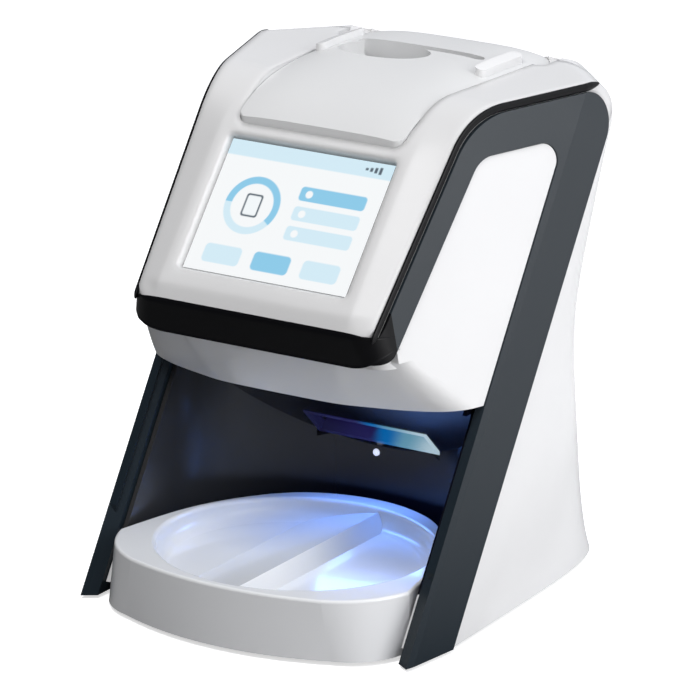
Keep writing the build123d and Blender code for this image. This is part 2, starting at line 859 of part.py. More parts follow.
with BuildPart() as lid:
    add(lid_plan(0.0))
    add(crown(), mode=Mode.INTERSECT)
    add(under_ridge(lid_wall), mode=Mode.SUBTRACT)
    add(crown(-lid_wall), mode=Mode.SUBTRACT)
    add(lid_edge.part)
    add(throat_wall.part)
    add(scoop(0.0), mode=Mode.SUBTRACT)
    add(stadium(0, slot_y, slot_length, slot_width, 150, 240), mode=Mode.SUBTRACT)
lid.part.label = "lid"

with BuildPart() as lid_grips:
    for side in (1, -1):
        add(stadium(side * grip_x, grip_y, -grip_length, grip_width, 200, 240))
    add(crown(grip_height), mode=Mode.INTERSECT)
    add(crown(), mode=Mode.SUBTRACT)
lid_grips.part.label = "lid_grips"

# Display: glass, module, bracket and board behind the bezel
def behind_screen(width, height, near, far):
    """A block behind the screen, between two depths under the outer face of the glass."""
    with BuildPart() as body:
        with BuildSketch(face_plane.offset(-far)):
            Rectangle(width, height)
        extrude(amount=far - near)
    return body.part


glass_width = screen_width + 2 * glass_margin - 2 * fit
glass_height = screen_height + 2 * glass_margin - 2 * fit
with BuildPart() as display_glass:
    add(behind_screen(glass_width, glass_height, 0.0, glass_thickness))
display_glass.part.label = "display_glass"

module_back = glass_thickness + module_thickness
with BuildPart() as display_module:
    add(behind_screen(glass_width - 2, glass_height - 2, glass_thickness, module_back))
    with BuildSketch(face_plane.offset(-module_back)):
        Rectangle(glass_width - 14, glass_height - 14)
    extrude(amount=sheet / 2, mode=Mode.SUBTRACT)
display_module.part.label = "display_module"

board_front = module_back + sheet + board_standoff
with BuildPart() as display_bracket:
    add(behind_screen(bracket_width, bracket_height, module_back, module_back + sheet))
    add(behind_screen(glass_width - 26, glass_height - 26, 0.0, 30.0), mode=Mode.SUBTRACT)
    with BuildSketch(face_plane.offset(-board_front)):
        with GridLocations(board_width - 6, board_height - 6, 2, 2):
            Circle(2.5)
    extrude(amount=board_standoff)
display_bracket.part.label = "display_bracket"

with BuildPart() as display_board:
    add(behind_screen(board_width, board_height, board_front, board_front + board))
    with BuildSketch(face_plane.offset(-board_front - board - 2.5)):
        with Locations((-20, 8), (18, -6)):
            Rectangle(14, 14)
        with Locations((22, 16)):
            Rectangle(10, 6)
    extrude(amount=2.5)
display_board.part.label = "display_board"

# Base plate with its tray rails, the feet under it and the screws that hold the chassis
base_front = drawn_in(skirt_front, tray_wall + 2 * fit)
base_side = drawn_in(skirt_side, tray_wall + 2 * fit)
with BuildPart() as cheeks:
    add(bay_plan(liner_wall, liner_low, cheek_top - seam))
    add(bay_space.part, mode=Mode.SUBTRACT)
    add(body_prism(0.0, liner_front, 200.0), mode=Mode.INTERSECT)
    add(box((-100, -100, 0), (100, cheek_back - seam, cheek_top)), mode=Mode.INTERSECT)

with BuildPart() as base_plate:
    with BuildSketch(Plane.XY.offset(body_low)):
        with BuildLine():
            ThreePointArc(*base_front)
            Spline(*base_side)
            Polyline(
                base_side[-1],
                (leg_inner - fit, base_side[-1][1]),
                (leg_inner - fit, 0),
                (fit - leg_inner, 0),
                (fit - leg_inner, base_side[-1][1]),
                (-base_side[-1][0], base_side[-1][1]),
            )
            Spline(*[(-x, y) for x, y in base_side])
        make_face()
    extrude(amount=base_thickness)
    low_ring = waist_rings[0]
    extrude(waist_section(liner_low, *low_ring[1:], wall + 8 * fit), amount=-base_thickness)
    with BuildSketch(Plane.XY.offset(liner_low)):
        with Locations((rail_x, -rail_front / 2), (-rail_x, -rail_front / 2)):
            Rectangle(rail_width, rail_front - 10)
    extrude(amount=rail_height)
    with BuildSketch(Plane.XY.offset(body_low)):
        with Locations(*screw_spots):
            Circle(screw_radius + bore_fit)
    extrude(amount=base_thickness, mode=Mode.SUBTRACT)
    with BuildSketch(Plane.XY.offset(body_low)):
        with Locations(*screw_spots):
            Circle(screw_head + bore_fit)
    extrude(amount=screw_head_height + fit, mode=Mode.SUBTRACT)
    add(cheeks.part)
base_plate.part.label = "base_plate"

with BuildPart() as rubber_feet:
    with BuildSketch(Plane.XY):
        with Locations(*foot_spots):
            Circle(foot_radius)
    extrude(amount=foot_height)
    chamfer(rubber_feet.edges().group_by(Axis.Z)[0], foot_height / 4)
rubber_feet.part.label = "rubber_feet"

with BuildPart() as base_screws:
    with BuildSketch(Plane.XY.offset(body_low + fit)):
        with Locations(*screw_spots):
            Circle(screw_head)
    extrude(amount=screw_head_height)
    with BuildSketch(Plane.XY.offset(body_low + fit)):
        with Locations(*screw_spots):
            Circle(screw_radius)
    extrude(amount=base_thickness + sheet + 1)
    with BuildSketch(Plane.XY.offset(body_low + fit)):
        with Locations(*screw_spots):
            RegularPolygon(screw_radius * 0.75, 6)
    extrude(amount=screw_head_height * 0.6, mode=Mode.SUBTRACT)
base_screws.part.label = "base_screws"

# Chassis: two bent side plates, tie bars, entry throat and the plate guides
between = chassis_x - sheet / 2
with BuildPart() as right_chassis_plate:
    with BuildSketch(Plane.YZ.offset(between)) as outline:
        with BuildLine():
            Polyline(*chassis_outline, close=True)
        make_face()
        fillet(outline.vertices(), 3.0)
        with Locations(*roller_spots):
            Circle(shaft_radius + bore_fit, mode=Mode.SUBTRACT)
        with Locations(*pinch_spots):
            Circle(pinch_shaft + bore_fit, mode=Mode.SUBTRACT)
        with Locations(motor_spot):
            Circle(motor_shaft + sheet, mode=Mode.SUBTRACT)
    extrude(amount=sheet)
    add(box((between, flange_low, liner_low), (between + flange_width, flange_high, liner_low + sheet)))
    with BuildSketch(Plane.XY.offset(liner_low)):
        with Locations(*screw_spots[:2]):
            Circle(screw_radius + bore_fit)
    extrude(amount=sheet, mode=Mode.SUBTRACT)
right_chassis_plate.part.label = "right_chassis_plate"

with BuildPart() as left_chassis_plate:
    mirror(right_chassis_plate.part, about=Plane.YZ)
left_chassis_plate.part.label = "left_chassis_plate"

with BuildPart() as chassis_tie_bars:
    for y, z in tie_spots:
        add(rod(y, z, tie_radius, -between, between))
chassis_tie_bars.part.label = "chassis_tie_bars"

throat_rise = throat_top - 0.5 - throat_low
with BuildPart() as entry_throat:
    with BuildSketch(Plane.XY.offset(throat_low)):
        with Locations((0, slot_y)):
            Rectangle(2 * between, throat_depth)
    extrude(amount=throat_rise)
    with BuildSketch(Plane.XY.offset(throat_low)):
        with Locations((0, slot_y)):
            Rectangle(slot_length, slot_width)
    extrude(amount=throat_rise, taper=-4, mode=Mode.SUBTRACT)
entry_throat.part.label = "entry_throat"


def plate_guide(points):
    """A bent sheet across the transport, with windows for the rollers, the scan line and the lamp."""
    with BuildPart() as body:
        with BuildSketch(Plane.YZ.offset(fit - between)):
            with BuildLine():
                Polyline(*points)
            trace(line_width=guide_sheet)
        extrude(amount=2 * (between - fit))
        with BuildSketch(Plane.XZ):
            for y, z in roller_spots:
                with Locations((0, z)):
                    Rectangle(2 * roller_half + 4, 2 * roller_radius + 2)
            with Locations((0, scan_z), (0, lamp_z)):
                Rectangle(2 * roller_half + 4, 4)
        extrude(amount=-100, mode=Mode.SUBTRACT)
    return body.part


front_guide_y = slot_y - guide_gap
rear_guide_y = slot_y + guide_gap
with BuildPart() as front_plate_guide:
    add(plate_guide([(front_guide_y, throat_low - fit), (front_guide_y, 112), front_guide_end]))
front_plate_guide.part.label = "front_plate_guide"

with BuildPart() as rear_plate_guide:
    add(plate_guide([(rear_guide_y, throat_low - fit), (rear_guide_y, 108), rear_guide_end]))
rear_plate_guide.part.label = "rear_plate_guide"

# Drive rollers: steel shaft with its pulley pressed on, and a rubber sleeve
pulley_start = chassis_x + pulley_gap
pulley_end = pulley_start + pulley_width


def drive_shaft(y, z):
    """A shaft with a flanged pulley at its right end."""
    with BuildPart() as body:
        add(rod(y, z, shaft_radius, -between - sheet - 2, pulley_end + 1))
        add(rod(y, z, pulley_radius, pulley_start, pulley_end))
        add(rod(y, z, pulley_radius + 1.2, pulley_start - 1, pulley_start))
    return body.part


def sleeve(y, z):
    """The rubber on a drive shaft."""
    with BuildPart() as body:
        add(rod(y, z, roller_radius, -roller_half, roller_half))
        add(rod(y, z, shaft_radius, -roller_half, roller_half), mode=Mode.SUBTRACT)
    return body.part


def pinch(y, z):
    """A free roller that presses the plate on the rubber."""
    with BuildPart() as body:
        add(rod(y, z, pinch_radius, -roller_half, roller_half))
        add(rod(y, z, pinch_shaft, -between - sheet, between + sheet))
    return body.part


with BuildPart() as upper_drive_shaft:
    add(drive_shaft(*roller_spots[0]))
upper_drive_shaft.part.label = "upper_drive_shaft"

with BuildPart() as lower_drive_shaft:
    add(drive_shaft(*roller_spots[1]))
lower_drive_shaft.part.label = "lower_drive_shaft"

with BuildPart() as upper_roller_sleeve:
    add(sleeve(*roller_spots[0]))
upper_roller_sleeve.part.label = "upper_roller_sleeve"

with BuildPart() as lower_roller_sleeve:
    add(sleeve(*roller_spots[1]))
lower_roller_sleeve.part.label = "lower_roller_sleeve"

with BuildPart() as upper_pinch_roller:
    add(pinch(*pinch_spots[0]))
upper_pinch_roller.part.label = "upper_pinch_roller"

with BuildPart() as lower_pinch_roller:
    add(pinch(*pinch_spots[1]))
lower_pinch_roller.part.label = "lower_pinch_roller"

motor_y, motor_z = motor_spot
with BuildPart() as stepper_motor:
    with BuildSketch(Plane.YZ.offset(between - motor_length)):
        with Locations(motor_spot):
            RectangleRounded(motor_side, motor_side, 3.0)
            Circle(motor_shaft, mode=Mode.SUBTRACT)
    extrude(amount=motor_length)
stepper_motor.part.label = "stepper_motor"

with BuildPart() as motor_pulley:
    add(rod(motor_y, motor_z, motor_shaft - bore_fit, between - motor_length, pulley_end))
    add(rod(motor_y, motor_z, motor_pulley_radius, pulley_start, pulley_end))
    add(rod(motor_y, motor_z, motor_pulley_radius + 1.2, pulley_start - 1, pulley_start))
motor_pulley.part.label = "motor_pulley"


def belt_loop(grow):
    """The outline round the three pulleys."""
    with BuildSketch(Plane.YZ.offset(pulley_start + 0.5)) as loop:
        with Locations(*roller_spots):
            Circle(pulley_radius + grow)
        with Locations(motor_spot):
            Circle(motor_pulley_radius + grow)
        make_hull()
    return loop.sketch


with BuildPart() as drive_belt:
    extrude(belt_loop(bore_fit + belt_thickness), amount=pulley_width - 1)
    extrude(belt_loop(bore_fit), amount=pulley_width - 1, mode=Mode.SUBTRACT)
drive_belt.part.label = "drive_belt"

# Scanning optics: a shelf between the side plates with laser, mirror, light collector and detector
shelf_top = scan_z - 24
with BuildPart() as optics_shelf:
    add(box((-between, optics_y - 7, shelf_top - sheet), (between, optics_y + 4, shelf_top)))
    add(box((-36, optics_y - 4, shelf_top), (-20, optics_y + 4, scan_z)))
    add(rod(optics_y, scan_z, 4.0, -38, -18), mode=Mode.SUBTRACT)
optics_shelf.part.label = "optics_shelf"

with BuildPart() as laser_module:
    add(rod(optics_y, scan_z, 4.0, -37, -18))
    add(rod(optics_y, scan_z, 2.0, -19, -18), mode=Mode.SUBTRACT)
laser_module.part.label = "laser_module"

galvo_top = scan_z - 6
mirror_shaft = 1.5
with BuildPart() as mirror_motor:
    with BuildSketch(Plane.XY.offset(shelf_top)):
        with Locations((0, optics_y)):
            Circle(7)
            Circle(mirror_shaft + bore_fit, mode=Mode.SUBTRACT)
    extrude(amount=galvo_top - shelf_top)
mirror_motor.part.label = "mirror_motor"

with BuildPart() as scan_mirror:
    with BuildSketch(Plane.XY.offset(galvo_top - 8)):
        with Locations((0, optics_y)):
            Circle(mirror_shaft)
    extrude(amount=10)
    with BuildSketch(Plane.XY.offset(galvo_top + 1)):
        with Locations((0, optics_y)):
            Rectangle(11, 1.6, rotation=45)
    extrude(amount=9)
scan_mirror.part.label = "scan_mirror"

collector_top = scan_z - 2.5
with BuildPart() as light_collector:
    add(box((-between, rear_guide_y + 1.2, collector_top - 4), (between, 72, collector_top)))
    add(box((18, 70, collector_top - 4), (30, 82, collector_top)))
light_collector.part.label = "light_collector"

with BuildPart() as photomultiplier:
    with BuildSketch(Plane.XY.offset(collector_top)):
        with Locations((24, 76)):
            Circle(6)
    extrude(amount=22)
photomultiplier.part.label = "photomultiplier"

lamp_board_y = 71.0
with BuildPart() as erase_lamp_bar:
    add(box((-between, lamp_board_y, lamp_z - 3), (between, lamp_board_y + board, lamp_z + 3)))
    with BuildSketch(Plane.XZ.offset(-lamp_board_y)):
        with Locations((0, lamp_z)):
            with GridLocations(7.5, 0, 8, 1):
                Rectangle(3.5, 3.5)
    extrude(amount=2)
erase_lamp_bar.part.label = "erase_lamp_bar"

# Boards and connectors at the back
board_y = 76.0
board_half = 37.0
with BuildPart() as main_board:
    add(box((-board_half, board_y, 16), (board_half, board_y + board, 108)))
    with BuildSketch(Plane.XZ.offset(-board_y - board)):
        with Locations((-18, 84), (14, 76)):
            Rectangle(16, 16)
        with Locations((20, 96), (-22, 56)):
            Rectangle(10, 6)
    extrude(amount=-2)
    with BuildSketch(Plane.XZ.offset(-board_y)):
        for y, z in tie_spots[1:3]:
            with Locations((25, z), (-25, z)):
                Circle(2.2)
    extrude(amount=board_y - tie_spots[1][0])
    for y, z in tie_spots[1:3]:
        add(rod(y, z, tie_radius, -between, between), mode=Mode.SUBTRACT)
main_board.part.label = "main_board"

board_back = board_y + board
with BuildPart() as power_jack:
    with BuildSketch(Plane.XZ.offset(-board_back)):
        with Locations((power_x, jack_z)):
            Rectangle(9, 11)
    extrude(amount=board_back - panel_face)
    with BuildSketch(Plane.XZ.offset(-panel_face)):
        with Locations((power_x, jack_z)):
            Circle(3.2)
    extrude(amount=10, mode=Mode.SUBTRACT)
    with BuildSketch(Plane.XZ.offset(10 - panel_face)):
        with Locations((power_x, jack_z)):
            Circle(1.0)
    extrude(amount=-4)
power_jack.part.label = "power_jack"

with BuildPart() as network_jack:
    with BuildSketch(Plane.XZ.offset(-board_back)):
        with Locations((0, jack_z)):
            Rectangle(16, 14)
    extrude(amount=board_back - panel_face)
    with BuildSketch(Plane.XZ.offset(-panel_face)):
        with Locations((0, jack_z)):
            Rectangle(11.8, 7)
        with Locations((0, jack_z - 4.5)):
            Rectangle(6, 3)
    extrude(amount=10, mode=Mode.SUBTRACT)
network_jack.part.label = "network_jack"

switch_back = board_back + 2
rocker_y = panel_face - 3.5
rocker_pin = 1.0
rocker_pin_half = 6.9
with BuildPart() as power_switch_body:
    with BuildSketch(Plane.XZ.offset(-switch_back)):
        with Locations((switch_x, jack_z)):
            Rectangle(15, 22)
    extrude(amount=switch_back - panel_face)
    with BuildSketch(Plane.XZ.offset(-panel_face)):
        with Locations((switch_x, jack_z)):
            Rectangle(12, 18.6)
    extrude(amount=8.4, mode=Mode.SUBTRACT)
    pin_reach = rocker_pin_half + fit
    pin_bore = rod(rocker_y, jack_z, rocker_pin + bore_fit, switch_x - pin_reach, switch_x + pin_reach)
    add(pin_bore, mode=Mode.SUBTRACT)
power_switch_body.part.label = "power_switch_body"

rocker_shape = [(-3, -3), (3, -8), (4, -8), (2.2, 0), (4, 8), (3, 8), (-3, 3)]
with BuildPart() as power_rocker:
    with BuildSketch(Plane.YZ.offset(switch_x - 5.7)):
        with BuildLine():
            Polyline([(rocker_y + y, jack_z + z) for y, z in rocker_shape], close=True)
        make_face()
    extrude(amount=11.4)
    add(rod(rocker_y, jack_z, rocker_pin, switch_x - rocker_pin_half, switch_x + rocker_pin_half))
power_rocker.part.label = "power_rocker"

panel_rim = 2.0
with BuildPart() as connector_panel:
    add(box((-panel_half - panel_rim, panel_face - sheet, panel_low - panel_rim),
            (panel_half + panel_rim, 110, panel_high + panel_rim)))
    add(box((-panel_half, panel_face, panel_low), (panel_half, 120, panel_high)), mode=Mode.SUBTRACT)
    add(waist_body(wall + fit), mode=Mode.INTERSECT)
    with BuildSketch(Plane.XZ.offset(-panel_face)):
        with Locations((power_x, jack_z)):
            Rectangle(9 + fit, 11 + fit)
        with Locations((0, jack_z)):
            Rectangle(16 + fit, 14 + fit)
        with Locations((switch_x, jack_z)):
            Rectangle(15 + fit, 22 + fit)
    extrude(amount=10, mode=Mode.SUBTRACT)
connector_panel.part.label = "connector_panel"

# Lights in the bay: the frame of the exit mouth and the status light
with BuildPart() as exit_light_guide:
    with BuildSketch(exit_plane.offset(-liner_wall - 2)):
        Rectangle(exit_width + 4, exit_run + 4)
    extrude(amount=2)
    with BuildSketch(exit_plane.offset(-liner_wall)):
        Rectangle(exit_width - 2 * light_fit, exit_run - 2 * light_fit)
    extrude(amount=liner_wall + 0.4)
    with BuildSketch(exit_plane.offset(-10)):
        Rectangle(exit_width - 4, exit_run - 4)
    extrude(amount=20, mode=Mode.SUBTRACT)
exit_light_guide.part.label = "exit_light_guide"

with BuildPart() as status_led:
    with BuildSketch(Plane.XZ.offset(0.6 - status_y)):
        with Locations((status_x, status_z)):
            Circle(status_radius)
    extrude(amount=-liner_wall - 0.8)
    with BuildSketch(Plane.XZ.offset(-status_y - liner_wall - 0.1)):
        with Locations((status_x, status_z)):
            Circle(status_radius + 0.8)
    extrude(amount=-2)
status_led.part.label = "status_led"

pieces = [
    right_side_band, left_side_band, chin_band, screen_bezel, head_shell, rear_cover, bay_liner, tray, lid,
    lid_grips, display_glass, display_module, display_bracket, display_board, base_plate, rubber_feet,
    base_screws, right_chassis_plate, left_chassis_plate, chassis_tie_bars, entry_throat, front_plate_guide,
    rear_plate_guide, upper_drive_shaft, lower_drive_shaft, upper_roller_sleeve, lower_roller_sleeve,
    upper_pinch_roller, lower_pinch_roller, stepper_motor, motor_pulley, drive_belt, optics_shelf,
    laser_module, mirror_motor, scan_mirror, light_collector, photomultiplier, erase_lamp_bar, main_board,
    power_jack, network_jack, power_switch_body, power_rocker, connector_panel, exit_light_guide, status_led,
]
for piece in pieces:
    export_step(piece.part, f"parts/{piece.part.label}.step")
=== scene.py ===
import math

import bpy
import numpy as np
from mathutils import Matrix, Vector


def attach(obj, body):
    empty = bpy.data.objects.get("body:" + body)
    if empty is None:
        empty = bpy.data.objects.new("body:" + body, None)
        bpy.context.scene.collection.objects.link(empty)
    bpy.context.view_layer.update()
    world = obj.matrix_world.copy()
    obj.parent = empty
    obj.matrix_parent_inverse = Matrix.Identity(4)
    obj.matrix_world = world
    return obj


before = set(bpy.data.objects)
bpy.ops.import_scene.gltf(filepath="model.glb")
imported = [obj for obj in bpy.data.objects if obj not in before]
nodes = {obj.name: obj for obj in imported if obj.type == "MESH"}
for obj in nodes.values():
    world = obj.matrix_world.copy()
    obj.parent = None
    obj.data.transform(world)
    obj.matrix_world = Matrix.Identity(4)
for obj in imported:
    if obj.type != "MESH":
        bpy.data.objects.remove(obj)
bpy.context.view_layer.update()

# Studio: a pale table in a white room that falls dark toward the front left, with a large soft box
# from the right, one above the front and a weak one low down. The camera stands where the photograph
# was taken from.
camera_place = (1.1838, -1.8223, 0.8034)
camera_right = Vector((0.8402, 0.5423, -0.0048))
camera_up = Vector((-0.1627, 0.2605, 0.9517))
camera_turn = Matrix((camera_right, camera_up, camera_right.cross(camera_up))).transposed()
camera = bpy.data.objects.new("camera", bpy.data.cameras.new("camera"))
camera.matrix_world = Matrix.Translation(camera_place) @ camera_turn.to_4x4()
camera.data.sensor_width = 36.0
camera.data.lens = 280.3
camera.data.clip_start = 0.05
camera.data.clip_end = 60.0
bpy.context.scene.collection.objects.link(camera)
bpy.context.scene.camera = camera


def lamp(name, place, target, width, height, power, colour, mirrored=True):
    """A rectangular soft box at a place, turned to its target; one that isn't mirrored stays out of
    reflections."""
    data = bpy.data.lights.new(name, "AREA")
    data.shape = "RECTANGLE"
    data.size = width
    data.size_y = height
    data.energy = power
    data.color = colour
    light = bpy.data.objects.new(name, data)
    light.location = place
    light.rotation_mode = "QUATERNION"
    light.rotation_quaternion = (Vector(target) - Vector(place)).to_track_quat("-Z", "Y")
    light.visible_glossy = mirrored
    bpy.context.scene.collection.objects.link(light)


middle = (0.0, 0.0, 0.11)
lamp_white = (1.0, 0.99, 0.98)
lamp("right_box", (1.6, -0.10, 0.66), middle, 1.0, 1.2, 11.5, (1.0, 0.99, 0.975))
lamp("front_top_box", (0.0, -0.72, 1.40), middle, 0.7, 0.6, 13.5, lamp_white, mirrored=False)
lamp("low_box", (1.3, -0.95, 0.30), middle, 0.5, 0.5, 1.6, lamp_white)


def add_node(tree, kind, values=None):
    """A shader node of one kind, with values set on its own sockets, by name or number."""
    made = tree.nodes.new("ShaderNode" + kind)
    for socket, value in (values or {}).items():
        made.inputs[socket].default_value = value
    return made


def wire(tree, *links):
    """Links between nodes, each given as source, outlet, target and inlet."""
    for source, outlet, target, inlet in links:
        tree.links.new(source.outputs[outlet], target.inputs[inlet])


light_side = (0.65, 0.76, 0.0)


def side_shade(tree, outlet, start, end, dark, light):
    """A smooth rise from dark to light: the place's dot product with the light side's direction,
    eased between start and end."""
    place = add_node(tree, "TexCoord")
    toward = add_node(tree, "VectorMath", {1: light_side})
    toward.operation = "DOT_PRODUCT"
    shade = add_node(tree, "MapRange", {"From Min": start, "From Max": end, "To Min": dark, "To Max": light})
    shade.interpolation_type = "SMOOTHSTEP"
    wire(tree, (place, outlet, toward, 0), (toward, "Value", shade, "Value"))
    return shade


def seen_or_lighting(tree, seen, lighting, out):
    """One shader where the camera sees the surface and another where light from it falls elsewhere."""
    path = add_node(tree, "LightPath")
    choose = add_node(tree, "MixShader")
    wire(
        tree,
        (path, "Is Camera Ray", choose, "Fac"),
        (lighting, 0, choose, 1),
        (seen, 0, choose, 2),
        (choose, "Shader", out, "Surface"),
    )


full_white = (1, 1, 1, 1)
world = bpy.data.worlds.new("white_room")
bpy.context.scene.world = world
world.use_nodes = True
tree = world.node_tree
tree.nodes.clear()
backdrop = add_node(tree, "Background", {"Color": full_white, "Strength": 1.0})
room = add_node(tree, "Background", {"Color": (0.93, 0.95, 1.0, 1)})
room_shade = side_shade(tree, "Generated", -0.7, 0.9, 0.08, 1.0)
wire(tree, (room_shade, "Result", room, "Strength"))
seen_or_lighting(tree, backdrop, room, add_node(tree, "OutputWorld"))


def surface_mesh(name, points, faces, smooth=True):
    """A mesh from arrays of points in metres and of quads, linked to the scene."""
    mesh = bpy.data.meshes.new(name)
    mesh.from_pydata(np.asarray(points, float).tolist(), [], np.asarray(faces).tolist())
    mesh.polygons.foreach_set("use_smooth", np.full(len(mesh.polygons), smooth))
    mesh.update()
    piece = bpy.data.objects.new(name, mesh)
    bpy.context.scene.collection.objects.link(piece)
    return piece


table_reach = 30
table_corners = [(x * table_reach, y * table_reach, 0) for x, y in ((-1, -1), (1, -1), (1, 1), (-1, 1))]
table_top = surface_mesh("table_top", table_corners, [(0, 1, 2, 3)], False)
table_white = bpy.data.materials.new("table_white")
table_white.use_nodes = True
tree = table_white.node_tree
tree.nodes.clear()
matt = add_node(tree, "BsdfDiffuse", {"Color": (0.80, 0.80, 0.81, 1)})
lit = add_node(tree, "Emission", {"Color": full_white, "Strength": 0.62})
both = add_node(tree, "AddShader")
dull = add_node(tree, "BsdfDiffuse")
table_shade = side_shade(tree, "Object", -0.12, 0.30, 0.16, 0.90)
wire(
    tree,
    (matt, "BSDF", both, 0),
    (lit, "Emission", both, 1),
    (table_shade, "Result", dull, "Color"),
)
seen_or_lighting(tree, both, dull, add_node(tree, "OutputMaterial"))
table_top.data.materials.append(table_white)


# White shells: the bezel with its shoulders, the head shell with its side panels and visor, the rear
# cover and the base. Injection-moulded gloss ABS, screwed together from inside.
def moulded(
    name, colour, rough, wave=0.02, wave_scale=45.0, grain=0.0, grain_scale=2600.0, soft=0.0, sockets=None
):
    """Moulded plastic: slow changes of tone and rubbing, long faint waves of the flow, a spark-eroded
    grain, and edges eased over a soft radius."""
    made = bpy.data.materials.new(name)
    made.use_nodes = True
    tree = made.node_tree
    shader = tree.nodes["Principled BSDF"]
    place = add_node(tree, "TexCoord")
    tone = add_node(tree, "TexNoise", {"Scale": 9.0, "Detail": 3.0})
    ramp = add_node(tree, "ValToRGB")
    for stop, position, share in zip(ramp.color_ramp.elements, (0.3, 0.75), (0.965, 1.02)):
        stop.position = position
        stop.color = (*[min(1.0, share * part) for part in colour], 1)
    rub = add_node(tree, "TexNoise", {"Scale": 38.0, "Detail": 4.0})
    spread = add_node(tree, "MapRange", {"To Min": rough * 0.88, "To Max": rough * 1.14})
    flow = add_node(tree, "TexNoise", {"Scale": wave_scale, "Detail": 1.0})
    swell = add_node(tree, "Bump", {"Strength": wave, "Distance": 0.002})
    wire(
        tree,
        (place, "Object", tone, "Vector"),
        (tone, "Fac", ramp, "Fac"),
        (ramp, "Color", shader, "Base Color"),
        (place, "Object", rub, "Vector"),
        (rub, "Fac", spread, "Value"),
        (spread, "Result", shader, "Roughness"),
        (place, "Object", flow, "Vector"),
        (flow, "Fac", swell, "Height"),
    )
    if soft:
        eased = add_node(tree, "Bevel", {"Radius": soft})
        eased.samples = 8
        wire(tree, (eased, "Normal", swell, "Normal"))
    last = swell
    if grain:
        pits = add_node(tree, "TexNoise", {"Scale": grain_scale, "Detail": 2.0})
        last = add_node(tree, "Bump", {"Strength": grain, "Distance": 0.0002})
        wire(
            tree,
            (place, "Object", pits, "Vector"),
            (pits, "Fac", last, "Height"),
            (swell, "Normal", last, "Normal"),
        )
    wire(tree, (last, "Normal", shader, "Normal"))
    shader.inputs["Coat Roughness"].default_value = 0.06
    for socket, value in (sockets or {}).items():
        shader.inputs[socket].default_value = value
    return made


def dress(material, *names):
    """Gives CAD nodes one material in all their slots."""
    for name in names:
        mesh = nodes[name].data
        mesh.materials.clear()
        mesh.materials.append(material)


gloss = {"Coat Weight": 0.35}
shell_white = moulded("shell_white", (0.80, 0.80, 0.805), 0.24, sockets=gloss)
# The bezel's white is the shell's white made 8% darker: painted shade over the bezel's face.
bezel_shaded_white = moulded("bezel_shaded_white", (0.736, 0.736, 0.741), 0.24, soft=0.005, sockets=gloss)
dress(shell_white, "head_shell", "rear_cover", "base_plate")
dress(bezel_shaded_white, "screen_bezel")


# Side bands and chin band: dark slate-grey mouldings that frame the head and run down as the legs.
# Textured PC/ABS, satin; the chin strip is nearly black. They snap over the head shell.
def along_axis(tree, axis, start, end, low=0.0, high=1.0):
    """A value that goes evenly from low to high between two places on one axis, in metres."""
    place = add_node(tree, "TexCoord")
    split = add_node(tree, "SeparateXYZ")
    even = add_node(tree, "MapRange", {"From Min": start, "From Max": end, "To Min": low, "To Max": high})
    wire(tree, (place, "Object", split, "Vector"), (split, axis, even, "Value"))
    return even


band_height = 0.2
band_grey = moulded("band_grey", (0.011, 0.018, 0.025), 0.36, grain=0.25, grain_scale=3000.0)
tree = band_grey.node_tree
# Reflection strength rises with height: a painted sheen that darkens the bands toward the foot and lightens
# them toward the top.
sheen = along_axis(tree, "Z", 0.0, band_height, 0.15, 0.75)
wire(tree, (sheen, "Result", tree.nodes["Principled BSDF"], "Specular IOR Level"))
dim_sheen = {"Specular IOR Level": 0.2}
chin_black = moulded("chin_black", (0.003, 0.003, 0.004), 0.32, grain=0.1, sockets=dim_sheen)
dress(band_grey, "right_side_band", "left_side_band")
dress(chin_black, "chin_band")

# Dark trim: a near-black lip that rounds the chin, moulded in one with the dark bands, and a thin
# near-black bead beside each white rim, a painted shadow line where the band meets the rim. Their lines
# follow the leg's front edge and the head's taper.
leg_half = 0.0822
leg_foot_y = -0.076
leg_lean = 0.63953
front_taper = 0.3
rear_taper = 0.1255


def grid_quads(rows, columns, closed=False):
    """The quads of a grid of points, row by row; a closed grid joins its last column to its first."""
    index = np.arange(rows * columns).reshape(rows, columns)
    after = np.roll(index, -1, axis=1)
    if not closed:
        index, after = index[:, :-1], after[:, :-1]
    return np.stack([index[:-1], after[:-1], after[1:], index[1:]], -1).reshape(-1, 4)


